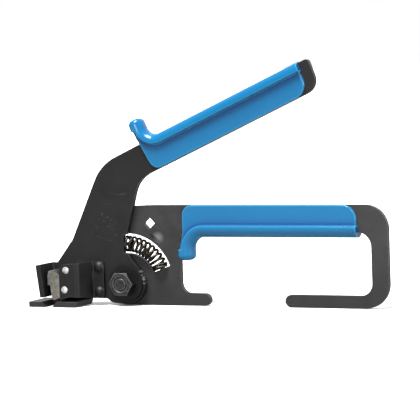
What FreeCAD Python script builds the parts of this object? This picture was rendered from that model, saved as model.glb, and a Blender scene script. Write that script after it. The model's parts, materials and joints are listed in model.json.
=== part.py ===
import FreeCAD, Part
import math
import os
import Sketcher

Vector = FreeCAD.Vector

# Strapping tensioner: a frame plate with a lower handle, a slotted foot and an open
# hand guard; a cranked lever plate that turns on a bolt; and a sprung serrated jaw
# that grips the strap against the lever's nose.
# +X runs along the lower handle, +Z is up and -Y is the side with the jaw.
# The origin is on the foot's underside, beside the strap slot.

# ---------------------------------------------------------------- driving dimensions
DIMENSIONS = [
    # the two plates and the pivot
    ("plate_thickness", 3.0),
    ("plate_gap", 0.5),
    ("frame_front_y", 10.0),
    ("pivot_x", 33.0),
    ("pivot_z", 12.9),
    ("handle_slope", 23.75),
    # frame plate, measured from the pivot
    ("frame_base", 12.9),
    ("handle_top", 45.1),
    ("handle_underside", 29.7),
    ("frame_end", 160.8),
    ("guard_inner_end", 150.8),
    ("guard_tip", 98.4),
    ("guard_bar", 7.1),
    ("finger_hook_inner", 33.8),
    ("finger_hook_tip", 51.8),
    ("pivot_lobe_radius", 12.2),
    # foot bent out of the frame plate
    ("foot_left", 57.0),
    ("foot_right", 25.3),
    ("foot_depth", 22.0),
    ("foot_bend_radius", 4.0),
    ("strap_slot_depth", 12.5),
    ("strap_slot_width", 4.6),
    # arc slot for the return spring
    ("slot_middle_radius", 22.8),
    ("slot_width", 11.7),
    ("slot_start_angle", 20.5),
    ("slot_end_angle", 98.0),
    # stop tab lanced out of the frame plate
    ("tab_slot_length", 15.4),
    ("tab_slot_width", 5.3),
    ("tab_run", 9.7),
    ("tab_rise", 2.3),
    # nose flange and its lean
    ("nose_lean", 7.0),
    ("nose_foot_x", 46.75),
    ("nose_top", 11.9),
    ("nose_bottom", 7.3),
    ("nose_reach", 18.5),
    ("nose_bend_radius", 4.0),
    # lever handle, in its own sloping frame
    ("lever_handle_low", 51.35),
    ("lever_handle_high", 69.05),
    ("lever_handle_end", 158.6),
    # grips
    ("grip_length", 106.7),
    ("grip_flange_width", 6.0),
    ("grip_bead_width", 11.0),
    ("grip_bead_reach", 18.5),
    ("grip_lower_lip", 11.7),
    ("grip_upper_lip", 12.7),
    ("grip_hook_reach", 31.8),
    ("grip_fit", 0.05),
    ("grip_rim_round", 0.6),
    ("grip_knob_round", 3.0),
    ("grip_lip_round", 0.8),
    ("handle_recess", 2.4),
    ("lower_grip_start", 36.0),
    ("upper_grip_start", 45.0),
    # pivot hardware: M8
    ("bolt_radius", 4.0),
    ("hex_across_flats", 13.0),
    ("bolt_head_height", 5.3),
    ("nut_height", 6.4),
    ("nut_bore_radius", 4.03),
    ("front_washer_radius", 10.9),
    ("front_washer_thickness", 1.8),
    ("back_washer_radius", 8.5),
    ("back_washer_thickness", 1.6),
    ("washer_bore_radius", 4.2),
    ("bush_radius", 6.0),
    ("bush_bore_radius", 4.05),
    ("bush_seat_radius", 6.05),
    ("shim_radius", 10.0),
    ("shim_thickness", 0.4),
    ("axial_play", 0.1),
    # return spring
    ("spring_prong_half", 1.0),
    ("spring_radius", 4.2),
    ("spring_wire_radius", 0.65),
    ("spring_turns", 11.0),
    ("spring_start_angle", 22.3),
    ("spring_end_angle", 90.1),
    # jaw bracket, rivets and pins
    ("bracket_thickness", 1.8),
    ("bracket_stand", 12.4),
    ("rivet_radius", 2.0),
    ("rivet_head_radius", 3.15),
    ("rivet_head_height", 1.7),
    ("rivet_x", 16.9),
    ("rivet_upper_z", 9.3),
    ("rivet_lower_z", -5.3),
    ("pin_radius", 2.0),
    ("pin_proud", 0.6),
    ("jaw_pin_x", 33.2),
    ("jaw_pin_z", -2.8),
    ("stop_pin_x", 32.0),
    ("stop_pin_z", 8.6),
    ("spacer_radius", 2.6),
    ("pin_clearance", 0.05),
    # jaw
    ("jaw_side_gap", 0.4),
    ("gripper_thickness", 2.5),
    ("backing_thickness", 1.4),
    ("jaw_screw_radius", 1.2),
    ("jaw_screw_head_radius", 2.1),
    ("jaw_screw_spacing", 6.4),
    ("jaw_spring_radius", 1.85),
    ("jaw_spring_wire_radius", 0.25),
    ("jaw_spring_length", 10.8),
    ("jaw_spring_turns", 9.0),
    ("jaw_spring_hole_radius", 2.3),
    ("gripper_face", 2.9),
    ("jaw_screw_height", -4.9),
    ("jaw_screw_head_depth", 1.1),
    ("jaw_screw_length", 7.0),
    ("jaw_spring_height", 0.9),
]

doc = FreeCAD.newDocument("StrappingTensioner")
sheet = doc.addObject("Spreadsheet::Sheet", "dims")
for row, (alias, value) in enumerate(DIMENSIONS, start=1):
    sheet.set("A%d" % row, alias)
    sheet.set("B%d" % row, str(value))
    sheet.setAlias("B%d" % row, alias)
doc.recompute()


def size(alias):
    """The value of one driving dimension, read back from the sheet."""
    return float(sheet.get(alias))


# ------------------------------------------------------------------- outline helpers
def turned(x, z, degrees):
    """A point (x, z) turned anticlockwise about the origin."""
    a = math.radians(degrees)
    return (x * math.cos(a) - z * math.sin(a), x * math.sin(a) + z * math.cos(a))


def polar(radius, degrees):
    a = math.radians(degrees)
    return (radius * math.cos(a), radius * math.sin(a))


def rounded_outline(corners):
    """Closed outline through corners (x, z, radius): straight sides, rounded corners."""
    count = len(corners)
    arcs = []
    for i in range(count):
        x, z, radius = corners[i]
        here = Vector(x, z, 0)
        before = Vector(corners[i - 1][0], corners[i - 1][1], 0) - here
        after = Vector(corners[(i + 1) % count][0], corners[(i + 1) % count][1], 0) - here
        before.normalize()
        after.normalize()
        half = before.getAngle(after) / 2.0
        if radius <= 0 or abs(half - math.pi / 2) < 1e-6:
            arcs.append((here, here, None))
            continue
        setback = radius / math.tan(half)
        start = here + before * setback
        end = here + after * setback
        middle = before + after
        middle.normalize()
        centre = here + middle * (radius / math.sin(half))
        arcs.append((start, end, centre - middle * radius))
    edges = []
    for i in range(count):
        start, end, mid = arcs[i]
        if mid is not None:
            edges.append(Part.Arc(start, mid, end))
        following = arcs[(i + 1) % count][0]
        if end.distanceToPoint(following) > 1e-5:
            edges.append(Part.LineSegment(end, following))
    return edges


# ----------------------------------------------------------------- document helpers
def new_body(label):
    body = doc.addObject("PartDesign::Body", label)
    body.Label = label
    return body


def origin_plane(body, role):
    for feature in body.Origin.OriginFeatures:
        if feature.Role == role:
            return feature
    raise ValueError(role)


def front_sketch(body, name, y, x="dims.pivot_x", z="dims.pivot_z"):
    """A sketch seen from the front (+X right, +Z up), at depth y, centred on (x, z)."""
    sketch = body.newObject("Sketcher::SketchObject", name)
    sketch.AttachmentSupport = [(origin_plane(body, "XZ_Plane"), "")]
    sketch.MapMode = "FlatFace"
    sketch.setExpression("AttachmentOffset.Base.x", x)
    sketch.setExpression("AttachmentOffset.Base.y", z)
    sketch.setExpression("AttachmentOffset.Base.z", "-(%s)" % y)
    return sketch


def add_circle(sketch, radius, x=None, z=None):
    """A circle whose radius and centre are bound to the sheet."""
    index = sketch.addGeometry(Part.Circle(Vector(0, 0, 0), Vector(0, 0, 1), 1.0), False)
    rule = sketch.addConstraint(Sketcher.Constraint("Radius", index, 1.0))
    sketch.setExpression("Constraints[%d]" % rule, radius)
    if x is None:
        sketch.addConstraint(Sketcher.Constraint("Coincident", index, 3, -1, 1))
        return
    for kind, value in (("DistanceX", x), ("DistanceY", z)):
        rule = sketch.addConstraint(Sketcher.Constraint(kind, -1, 1, index, 3, 1.0))
        sketch.setExpression("Constraints[%d]" % rule, value)


def pad(body, sketch, length, name="Pad", midplane=False):
    """Thickens a sketch towards the front (-Y), or both ways about its plane."""
    feature = body.newObject("PartDesign::Pad", name)
    feature.Profile = sketch
    feature.setExpression("Length", length)
    if midplane:
        feature.SideType = "Symmetric"
    sketch.Visibility = False
    doc.recompute()
    return feature


def cut(body, sketch, length, name="Pocket", midplane=False, forwards=False):
    """Cuts a sketch backwards (+Y), forwards (-Y) or both ways; checks that it removes something."""
    before = body.Shape.Volume
    feature = body.newObject("PartDesign::Pocket", name)
    feature.Profile = sketch
    feature.setExpression("Length", length)
    feature.Reversed = forwards
    if midplane:
        feature.SideType = "Symmetric"
    doc.recompute()
    if not body.Shape.Volume < before - 1e-3:
        raise RuntimeError("%s cuts nothing from %s" % (name, body.Label))
    return feature


def round_edges(body, name, radius, chosen, kind="PartDesign::Fillet"):
    """Rounds or chamfers the edges of the tip's shape that chosen(edge) picks."""
    base = body.Tip
    names = ["Edge%d" % (i + 1) for i, edge in enumerate(base.Shape.Edges) if chosen(edge)]
    if not names:
        raise RuntimeError("%s finds no edge on %s" % (name, body.Label))
    feature = body.newObject(kind, name)
    feature.Base = (base, names)
    feature.setExpression("Radius" if kind.endswith("Fillet") else "Size", radius)
    doc.recompute()
    return feature


def ring(label, outer, inner, thickness, start_y, x="dims.pivot_x", z="dims.pivot_z"):
    """A washer, bush or shim whose front face is at start_y."""
    body = new_body(label)
    sketch = front_sketch(body, "Section", "%s + %s" % (start_y, thickness), x, z)
    add_circle(sketch, outer)
    add_circle(sketch, inner)
    pad(body, sketch, thickness)
    return body


def on_plane(edge, axis, value, tolerance=1e-3):
    return all(abs(getattr(p, axis) - value) < tolerance for p in edge.discretize(5))


# names for often used places
LEVER_BACK_Y = "dims.frame_front_y - dims.plate_gap"
LEVER_FRONT_Y = "dims.frame_front_y - dims.plate_gap - dims.plate_thickness"
BRACKET_INNER_Y = "dims.frame_front_y - dims.plate_gap - dims.plate_thickness - dims.bracket_stand"
FRAME_MIDDLE_Y = "dims.frame_front_y + dims.plate_thickness / 2"
LEVER_MIDDLE_Y = "dims.frame_front_y - dims.plate_gap - dims.plate_thickness / 2"
WASHER_FRONT_Y = LEVER_FRONT_Y + " - dims.axial_play - dims.front_washer_thickness"
JAW_BACK_Y = LEVER_FRONT_Y + " - dims.jaw_side_gap"

pivot_x = size("pivot_x")
pivot_z = size("pivot_z")
frame_front_y = size("frame_front_y")
plate = size("plate_thickness")
lever_back_y = frame_front_y - size("plate_gap")
lever_front_y = lever_back_y - plate
bracket_inner_y = lever_front_y - size("bracket_stand")
pin_end_y = lever_back_y - 0.1
nut_front_y = (lever_front_y - size("axial_play") - size("front_washer_thickness")
               - size("nut_height"))


# ------------------------------------------------------------------------ frame plate
def frame_outline():
    """The flat plate seen from the front: web, lower handle, finger hook and hand guard."""
    top = size("handle_top")
    base = -size("frame_base")
    under = size("handle_underside")
    end = size("frame_end")
    inner_end = size("guard_inner_end")
    bar = size("guard_bar")
    hook = size("finger_hook_inner")
    tip = size("finger_hook_tip")
    foot_top = base + plate
    lobe = size("pivot_lobe_radius")
    return [
        (-50.5, foot_top, 0), (-50.5, 3.0, 4), (-27.0, 12.5, 12), (-13.0, top - 1.0, 10), (16.0, top, 90),
        (end, top, 13.5), (end, base, 14), (size("guard_tip"), base, bar / 2 - 0.05),
        (size("guard_tip"), base + bar, bar / 2 - 0.05), (inner_end, base + bar, 7),
        (inner_end, under, 8), (hook, under, 5), (hook, base + bar, 6),
        (tip, base + bar, bar / 2 - 0.05), (tip, base, bar / 2 - 0.05),
        (-5.2, base, lobe - 1.0), (-11.5, foot_top + 2.2, 2), (-20.0, foot_top + 2.2, 1),
        (-size("foot_right"), foot_top + 2.2, 0), (-size("foot_right"), foot_top, 0),
    ]


def make_frame_plate():
    body = new_body("frame_plate")
    back_y = "dims.frame_front_y + dims.plate_thickness"
    outline = front_sketch(body, "PlateOutline", back_y)
    outline.addGeometry(rounded_outline(frame_outline()), False)
    pad(body, outline, "dims.plate_thickness", "Plate")

    base = -size("frame_base")
    foot = front_sketch(body, "FootEnd", back_y)
    left = -size("foot_left")
    right = -size("foot_right")
    foot.addGeometry(rounded_outline([(left, base, 0), (right, base, 0),
                                      (right, base + plate, 0), (left, base + plate, 0)]), False)
    pad(body, foot, "dims.foot_depth", "Foot")

    # strap slot: open at the foot's front edge, its walls flaring upwards
    slot_middle = -43.2
    half = size("strap_slot_width") / 2
    flare = 2.9
    slot = front_sketch(body, "StrapSlot", "dims.frame_front_y + dims.plate_thickness - dims.foot_depth")
    right_side = [(half, base - 1), (half, base), (half + flare, base + plate),
                  (half + flare, base + plate + 1)]
    left_side = [(-x, z) for x, z in reversed(right_side)]
    slot.addGeometry(rounded_outline([(slot_middle + x, z, 0) for x, z in right_side + left_side]), False)
    cut(body, slot, "dims.strap_slot_depth", "StrapSlotCut")

    # bend of the foot, outside then inside
    base_z = pivot_z + base
    back = frame_front_y + plate
    round_edges(body, "FootBendOutside", "dims.foot_bend_radius",
                lambda e: on_plane(e, "y", back) and on_plane(e, "z", base_z)
                and e.CenterOfMass.x < pivot_x + right)
    round_edges(body, "FootBendInside", "dims.foot_bend_radius - dims.plate_thickness",
                lambda e: on_plane(e, "y", frame_front_y) and on_plane(e, "z", base_z + plate)
                and e.CenterOfMass.x < pivot_x + right)

    # arc slot for the return spring, with a prong that enters the spring's end
    middle = size("slot_middle_radius")
    half_slot = size("slot_width") / 2
    start = size("slot_start_angle")
    end = size("slot_end_angle")
    outer = middle + half_slot
    inner = middle - half_slot
    arc_slot = front_sketch(body, "SpringSlot", "dims.frame_front_y")
    normal = Vector(0, 0, 1)
    centre = Vector(0, 0, 0)
    edges = [
        Part.ArcOfCircle(Part.Circle(centre, normal, outer), math.radians(start), math.radians(end)),
        Part.ArcOfCircle(Part.Circle(centre, normal, inner), math.radians(start), math.radians(end)),
        Part.LineSegment(Vector(*polar(inner, end), 0), Vector(*polar(outer, end), 0)),
    ]
    prong = size("spring_prong_half")
    prong_length = 4.0
    along = Vector(*polar(1, start + 90), 0)
    low = Vector(*polar(middle - prong, start), 0)
    high = Vector(*polar(middle + prong, start), 0)
    path = [Vector(*polar(inner, start), 0), low, low + along * prong_length,
            high + along * prong_length, high, Vector(*polar(outer, start), 0)]
    for first, second in zip(path, path[1:]):
        edges.append(Part.LineSegment(first, second))
    arc_slot.addGeometry(edges, False)
    cut(body, arc_slot, "dims.plate_thickness", "SpringSlotCut")

    # pivot hole
    hole = front_sketch(body, "PivotHole", "dims.frame_front_y")
    add_circle(hole, "dims.bush_radius")
    cut(body, hole, "dims.plate_thickness", "PivotHoleCut")

    # lanced stop tab: a slanting hole, and the tongue bent out of it towards the lever
    slant = -45.0
    root_x, root_z = 23.5, 25.5
    length = size("tab_slot_length")
    half_width = size("tab_slot_width") / 2
    window = front_sketch(body, "TabWindow", "dims.frame_front_y")
    corners = [(0, -half_width), (0, half_width), (-length, half_width), (-length, -half_width)]
    window_corners = []
    for along_tab, across in corners:
        dx, dz = turned(along_tab, across, slant)
        window_corners.append((root_x + dx, root_z + dz, 0.6))
    window.addGeometry(rounded_outline(window_corners), False)
    cut(body, window, "dims.plate_thickness", "TabWindowCut")

    tongue = body.newObject("Sketcher::SketchObject", "TabSide")
    tongue.AttachmentSupport = [(origin_plane(body, "XZ_Plane"), "")]
    tongue.MapMode = "FlatFace"
    along_x, along_z = turned(1, 0, slant)
    tab_turn = FreeCAD.Rotation(Vector(along_x, along_z, 0), Vector(0, 0, 1),
                                Vector(along_z, -along_x, 0), "XYZ")
    tongue.AttachmentOffset = FreeCAD.Placement(
        Vector(pivot_x + root_x, pivot_z + root_z, -frame_front_y), tab_turn)
    run = size("tab_run")
    rise = size("tab_rise")
    slope = math.atan2(rise, run)
    thick_x = plate * math.sin(slope)
    thick_y = plate * math.cos(slope)
    overlap = 1.2
    tongue.addGeometry(rounded_outline([
        (overlap, 0, 0), (0, 0, 2.0), (-run, rise, 0.4), (-run - thick_x, rise - thick_y, 0.4),
        (-thick_x * 0.6, -plate, 2.0), (overlap, -plate, 0)]), False)
    tab = body.newObject("PartDesign::Pad", "StopTab")
    tab.Profile = tongue
    tab.setExpression("Length", "dims.tab_slot_width - 0.2")
    tab.SideType = "Symmetric"
    doc.recompute()

    # corners of the foot, in plan
    front = frame_front_y + plate - size("foot_depth")
    round_edges(body, "FootCorners", "dims.plate_thickness / 2",
                lambda e: on_plane(e, "y", front) and abs(e.Length - plate) < 1e-3
                and abs(e.CenterOfMass.z - base_z - plate / 2) < 1e-3)
    return body


# holes that the lever plate and the jaw bracket share: name, radius, place from the pivot
BRACKET_HOLES = [
    ("JawPinHole", "dims.pin_radius", "-dims.jaw_pin_x", "dims.jaw_pin_z"),
    ("StopPinHole", "dims.pin_radius", "-dims.stop_pin_x", "dims.stop_pin_z"),
    ("UpperRivetHole", "dims.rivet_radius", "-dims.rivet_x", "dims.rivet_upper_z"),
    ("LowerRivetHole", "dims.rivet_radius", "-dims.rivet_x", "dims.rivet_lower_z"),
]
THROUGH = "80"  # longer than any piece is deep, in mm


def cut_bracket_holes(body):
    for name, radius, x, z in BRACKET_HOLES:
        hole = front_sketch(body, name, "dims.frame_front_y")
        add_circle(hole, radius, x, z)
        cut(body, hole, THROUGH, name + "Cut", midplane=True)


# ------------------------------------------------------------------------ lever plate
def on_nose(across, up):
    """A point of the leaning nose, from the pivot: across from the gripping face, up along it."""
    x, z = turned(across, up, size("nose_lean"))
    return (x - size("nose_foot_x"), z)


def on_handle(along, up):
    """A point of the sloping handle, from the pivot."""
    return turned(along, up, size("handle_slope"))


def lever_corners():
    low = size("lever_handle_low")
    high = size("lever_handle_high")
    end = size("lever_handle_end")
    lobe = 12.1
    arm_low = 9.1
    lean = math.radians(size("nose_lean"))
    nose_low = on_nose(-plate, (plate * math.sin(lean) - arm_low) / math.cos(lean))
    nose_high = on_nose(-plate, size("nose_top"))
    elbow_top = (-14.1, 68.9)
    prong = size("spring_prong_half")
    middle = size("slot_middle_radius")
    notch = 5.5
    grip_start = size("upper_grip_start") + 0.4
    grip_end = size("upper_grip_start") + size("grip_length") - 0.5
    recessed = high - size("handle_recess")
    corners = [
        (nose_low[0], nose_low[1], 0), (nose_high[0], nose_high[1], 0), (-44.8, 11.7, 1.5),
        (-34.1, 25.4, 8), (elbow_top[0], elbow_top[1], 27),
    ]
    for along, up, radius in ((grip_start, high, 0), (grip_start, recessed, 0.4), (grip_end, recessed, 0.4),
                              (grip_end, high, 0.6), (end, high, 2.0), (end - 0.6, low, 8.0)):
        x, z = on_handle(along, up)
        corners.append((x, z, radius))
    corners += [
        (10.2, 60.5, 17), (1.3, middle + notch, 0.5), (-0.6, middle + notch, 0.4),
        (-0.8, middle + prong, 0), (2.4, middle + prong, 0.3), (2.4, middle - prong, 0.3),
        (-0.9, middle - prong, 0), (-1.2, middle - notch, 0.4), (1.1, middle - notch, 0.5),
    ]
    # the lobe round the pivot, as a polygon of tangents
    for angle, radius in ((15.0, lobe - 1.2), (-30.0, lobe), (-75.0, lobe)):
        x, z = polar(lobe / math.cos(math.radians(22.5)), angle)
        corners.append((x, z, radius))
    corners.append((-9.3, -11.6, 6.0))
    corners.append((-12.5, -arm_low, 3.0))
    return corners


def make_lever_plate():
    body = new_body("lever_plate")
    outline = front_sketch(body, "PlateOutline", LEVER_BACK_Y)
    outline.addGeometry(rounded_outline(lever_corners()), False)
    pad(body, outline, "dims.plate_thickness", "Plate")

    nose = front_sketch(body, "NoseSection", LEVER_BACK_Y)
    nose_corners = [on_nose(-plate, -size("nose_bottom")), on_nose(0, -size("nose_bottom")),
                    on_nose(0, size("nose_top")), on_nose(-plate, size("nose_top"))]
    nose.addGeometry(rounded_outline([(x, z, 0) for x, z in nose_corners]), False)
    pad(body, nose, "dims.nose_reach", "Nose")

    def on_bend(across, y):
        """Picks the edge that runs up the nose at this place across it and this depth."""
        def chosen(edge):
            middle = edge.CenterOfMass
            x, z = on_nose(across, 0)
            lean = math.radians(size("nose_lean"))
            rise = middle.z - pivot_z - z
            return (on_plane(edge, "y", y) and edge.Length > 10
                    and abs(middle.x - pivot_x - x + rise * math.tan(lean)) < 0.2)
        return chosen

    round_edges(body, "NoseBendOutside", "dims.nose_bend_radius", on_bend(-plate, lever_back_y))
    round_edges(body, "NoseBendInside", "dims.nose_bend_radius - dims.plate_thickness",
                on_bend(0, lever_front_y))

    pivot_hole = front_sketch(body, "PivotHole", LEVER_FRONT_Y)
    add_circle(pivot_hole, "dims.bush_seat_radius")
    cut(body, pivot_hole, "dims.plate_thickness", "PivotHoleCut")
    cut_bracket_holes(body)
    return body


# ------------------------------------------------------------------------------ grips
class GripPlace:
    """Where a grip lies: along the handle from its start, and across it towards the bead."""

    def __init__(self, start, slope, base, side, middle_y, middle):
        self.start = start
        self.slope = slope
        self.base = base
        self.side = side
        self.middle_y = middle_y
        self.middle = middle

    def point(self, along, across):
        """(x, z) from the pivot."""
        return turned(self.start + along, self.base + self.side * across, self.slope)

    def outline(self, corners):
        return rounded_outline([self.point(along, across) + (radius,)
                                for along, across, radius in corners])

    def section(self, body, name, plane, along, across):
        """A sketch on a plane square to the handle (YZ_Plane) or to the hook (XY_Plane)."""
        x, z = self.point(along, across)
        sketch = body.newObject("Sketcher::SketchObject", name)
        sketch.AttachmentSupport = [(origin_plane(body, plane), "")]
        sketch.MapMode = "FlatFace"
        if plane == "YZ_Plane":
            base = Vector(self.middle, pivot_z + z, pivot_x + x)
            turn = FreeCAD.Rotation(Vector(1, 0, 0), -self.slope)
        else:
            base = Vector(pivot_x + x, self.middle, pivot_z + z)
            turn = FreeCAD.Rotation(Vector(0, 1, 0), -self.slope)
        sketch.AttachmentOffset = FreeCAD.Placement(base, turn)
        return sketch


def make_grip(label, place, bead_lip, near_end, plate_area):
    """A moulded sleeve: two thin walls beside the plate, joined by a half-round bead with a finger hook.

    near_end is the walls' outline at the hook's end, from the hook back to the far side.
    """
    body = new_body(label)
    length = size("grip_length")
    hook = size("grip_hook_reach")
    half_width = size("grip_bead_width") / 2
    height = size("grip_bead_reach") - bead_lip
    lip_round = size("grip_lip_round")
    crest_round = min(half_width, height - lip_round) - 0.1
    hook_side = -0.15
    ledge = 25.4
    knob_side = -2.4
    shoulder = ledge - bead_lip - 0.3
    bead_end = length + 0.5

    walls = front_sketch(body, "WallOutline", place.middle_y)
    walls.addGeometry(place.outline([
        (length, 0, 8), (length, 15.0, 1), (18.0, 15.0, 5), (4.0, 22.0, 3), (4.0, ledge + 1.0, 0)]
        + near_end), False)
    pad(body, walls, "dims.grip_flange_width", "Walls", midplane=True)
    wall_face = size("grip_flange_width") / 2
    round_edges(body, "WallRims", "dims.grip_rim_round",
                lambda e: on_plane(e, "y", place.middle - wall_face)
                or on_plane(e, "y", place.middle + wall_face))

    # the bead: a half-round section that runs along the handle and turns up into the hook
    section = place.section(body, "BeadSection", "YZ_Plane", bead_end, bead_lip)
    section.addGeometry(rounded_outline([
        (-half_width, 0, lip_round), (half_width, 0, lip_round),
        (half_width, place.side * height, crest_round),
        (-half_width, place.side * height, crest_round)]), False)
    path = front_sketch(body, "BeadPath", place.middle_y)
    bend_centre = (hook_side + shoulder, bead_lip + shoulder)
    reach = shoulder / math.sqrt(2)
    ends = [place.point(bead_end, bead_lip), place.point(bend_centre[0], bead_lip),
            place.point(bend_centre[0] - reach, bend_centre[1] - reach),
            place.point(hook_side, bend_centre[1]), place.point(hook_side, ledge + 1.0)]
    straight, bend_start, bend_middle, bend_end, top = [Vector(x, z, 0) for x, z in ends]
    path.addGeometry([Part.LineSegment(straight, bend_start), Part.Arc(bend_start, bend_middle, bend_end),
                      Part.LineSegment(bend_end, top)], False)
    bead = body.newObject("PartDesign::AdditivePipe", "Bead")
    bead.Profile = section
    bead.Spine = (path, ["Edge1", "Edge2", "Edge3"])
    doc.recompute()

    # the hook's thicker end
    knob = place.section(body, "KnobSection", "XY_Plane", 0, ledge)
    knob.addGeometry(rounded_outline([
        (knob_side, -half_width, 2.0), (hook_side + height, -half_width, crest_round),
        (hook_side + height, half_width, crest_round), (knob_side, half_width, 2.0)]), False)
    pad(body, knob, "dims.grip_hook_reach - %s" % ledge, "Knob")
    body.Tip.Reversed = place.side < 0
    doc.recompute()

    def on_knob_end(edge):
        x, z = place.point(0, hook)
        upwards = Vector(-math.sin(math.radians(place.slope)), 0, math.cos(math.radians(place.slope)))
        corner = Vector(pivot_x + x, 0, pivot_z + z)
        return all(abs((p - corner).dot(upwards)) < 1e-3 for p in edge.discretize(5))

    round_edges(body, "KnobEnd", "dims.grip_knob_round", on_knob_end)

    slot = front_sketch(body, "PlateSlot", place.middle_y)
    slot.addGeometry(place.outline(plate_area), False)
    cut(body, slot, "dims.plate_thickness + 2 * dims.grip_fit", "PlateSlotCut", midplane=True)
    return body


def make_lower_grip():
    fit = size("grip_fit")
    start = size("lower_grip_start")
    length = size("grip_length")
    depth = size("handle_top") - size("handle_underside") + fit
    web_side = size("finger_hook_inner") - start + fit
    place = GripPlace(start, 0.0, size("handle_top"), -1, FRAME_MIDDLE_Y, frame_front_y + plate / 2)
    area = [(-6, -3, 0), (length + 4, -3, 0), (length + 4, depth, 0), (web_side, depth, 5.0),
            (web_side, 36, 0), (-6, 36, 0)]
    near_end = [(-1.9, 26.4, 0), (-1.5, 23.0, 4), (0, 16.5, 6), (0, 0, 6)]
    return make_grip("lower_grip", place, size("grip_lower_lip"), near_end, area)


def make_upper_grip():
    fit = size("grip_fit")
    length = size("grip_length")
    depth = size("lever_handle_high") - size("lever_handle_low") + fit
    recessed = depth - size("handle_recess")
    place = GripPlace(size("upper_grip_start"), size("handle_slope"), size("lever_handle_low"), 1,
                      LEVER_MIDDLE_Y, lever_back_y - plate / 2)
    area = [(-6, -3, 0), (length + 12, -3, 0), (length + 12, depth, 0), (length - 0.5 - fit, depth, 0),
            (length - 0.5 - fit, recessed, 0.5), (0.4 + fit, recessed, 0.5), (0.4 + fit, depth, 0),
            (-6, depth, 0)]
    near_end = [(-2.3, 26.4, 0), (0.5, 0, 6)]
    return make_grip("upper_grip", place, size("grip_upper_lip"), near_end, area)


# ----------------------------------------------------------------------- pivot pieces
def top_sketch(body, name, x="dims.pivot_x", z="dims.pivot_z"):
    """A sketch seen from above (+X right, +Y up the page), centred on x, at height z."""
    sketch = body.newObject("Sketcher::SketchObject", name)
    sketch.AttachmentSupport = [(origin_plane(body, "XY_Plane"), "")]
    sketch.MapMode = "FlatFace"
    sketch.setExpression("AttachmentOffset.Base.x", x)
    sketch.setExpression("AttachmentOffset.Base.z", z)
    return sketch


def revolve(body, sketch, name, kind="PartDesign::Revolution"):
    """Turns a sketch a full circle about its own vertical axis."""
    before = body.Shape.Volume if kind.endswith("Groove") else None
    feature = body.newObject(kind, name)
    feature.Profile = sketch
    feature.ReferenceAxis = (sketch, ["V_Axis"])
    feature.Angle = 360
    doc.recompute()
    if before is not None and not body.Shape.Volume < before - 1e-3:
        raise RuntimeError("%s cuts nothing from %s" % (name, body.Label))
    return feature


def hexagon(across_flats):
    corner_radius = across_flats / math.sqrt(3)
    return rounded_outline([polar(corner_radius, 60 * i) + (0,) for i in range(6)])


def bevel_hexagon(body, name, face_y, inwards):
    """Turns the 30 degree bevel on a hexagon's corners; inwards is +1 or -1 along Y."""
    flat_radius = size("hex_across_flats") / 2 - 0.25
    outer = size("hex_across_flats") / math.sqrt(3) + 0.5
    drop = (outer - flat_radius) * math.tan(math.radians(30))
    sketch = top_sketch(body, name)
    sketch.addGeometry(rounded_outline([
        (flat_radius, face_y, 0), (outer, face_y + inwards * drop, 0), (outer, face_y - inwards, 0),
        (flat_radius, face_y - inwards, 0)]), False)
    revolve(body, sketch, name + "Cut", "PartDesign::Groove")


def make_pivot_bolt():
    body = new_body("pivot_bolt")
    head_y = frame_front_y + plate + size("back_washer_thickness")
    head_end = head_y + size("bolt_head_height")
    head = front_sketch(body, "HeadOutline",
                        "dims.frame_front_y + dims.plate_thickness + dims.back_washer_thickness"
                        " + dims.bolt_head_height")
    head.addGeometry(hexagon(size("hex_across_flats")), False)
    pad(body, head, "dims.bolt_head_height", "Head")
    bevel_hexagon(body, "HeadBevel", head_end, -1)
    radius = size("bolt_radius")
    bevel = 0.8
    shank = top_sketch(body, "ShankProfile")
    shank.addGeometry(rounded_outline([
        (0, nut_front_y, 0), (radius - bevel, nut_front_y, 0), (radius, nut_front_y + bevel, 0),
        (radius, head_y + 0.5, 0), (0, head_y + 0.5, 0)]), False)
    revolve(body, shank, "Shank")
    return body


def make_pivot_nut():
    body = new_body("pivot_nut")
    outline = front_sketch(body, "Outline", WASHER_FRONT_Y)
    outline.addGeometry(hexagon(size("hex_across_flats")), False)
    add_circle(outline, "dims.nut_bore_radius")
    pad(body, outline, "dims.nut_height", "Hexagon")
    bevel_hexagon(body, "FrontBevel", nut_front_y, 1)
    bore = size("nut_bore_radius")
    mouth = top_sketch(body, "MouthProfile")
    mouth.addGeometry(rounded_outline([
        (bore - 0.5, nut_front_y + 1.2, 0), (bore - 0.5, nut_front_y - 1.0, 0),
        (bore + 0.6, nut_front_y - 1.0, 0), (bore + 0.6, nut_front_y, 0),
        (bore, nut_front_y + 0.6, 0), (bore, nut_front_y + 1.2, 0)]), False)
    revolve(body, mouth, "Mouth", "PartDesign::Groove")
    return body


# ----------------------------------------------------------- bracket, rivets and pins
def domed_pin(label, shank_radius, dome_radius, dome_height, base_y, end_y, x, z):
    """A round pin along Y whose front end is a dome; base_y is where the dome starts."""
    body = new_body(label)
    profile = top_sketch(body, "Profile", x, z)
    sphere = (dome_radius ** 2 + dome_height ** 2) / (2 * dome_height)
    half_way = math.asin(dome_radius / sphere) / 2
    middle = Vector(sphere * math.sin(half_way), base_y - dome_height + sphere * (1 - math.cos(half_way)), 0)
    edges = [Part.Arc(Vector(0, base_y - dome_height, 0), middle, Vector(dome_radius, base_y, 0))]
    path = [Vector(dome_radius, base_y, 0), Vector(shank_radius, base_y, 0), Vector(shank_radius, end_y, 0),
            Vector(0, end_y, 0), Vector(0, base_y - dome_height, 0)]
    for first, second in zip(path, path[1:]):
        if first.distanceToPoint(second) > 1e-6:
            edges.append(Part.LineSegment(first, second))
    profile.addGeometry(edges, False)
    revolve(body, profile, "Turned")
    return body


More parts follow.
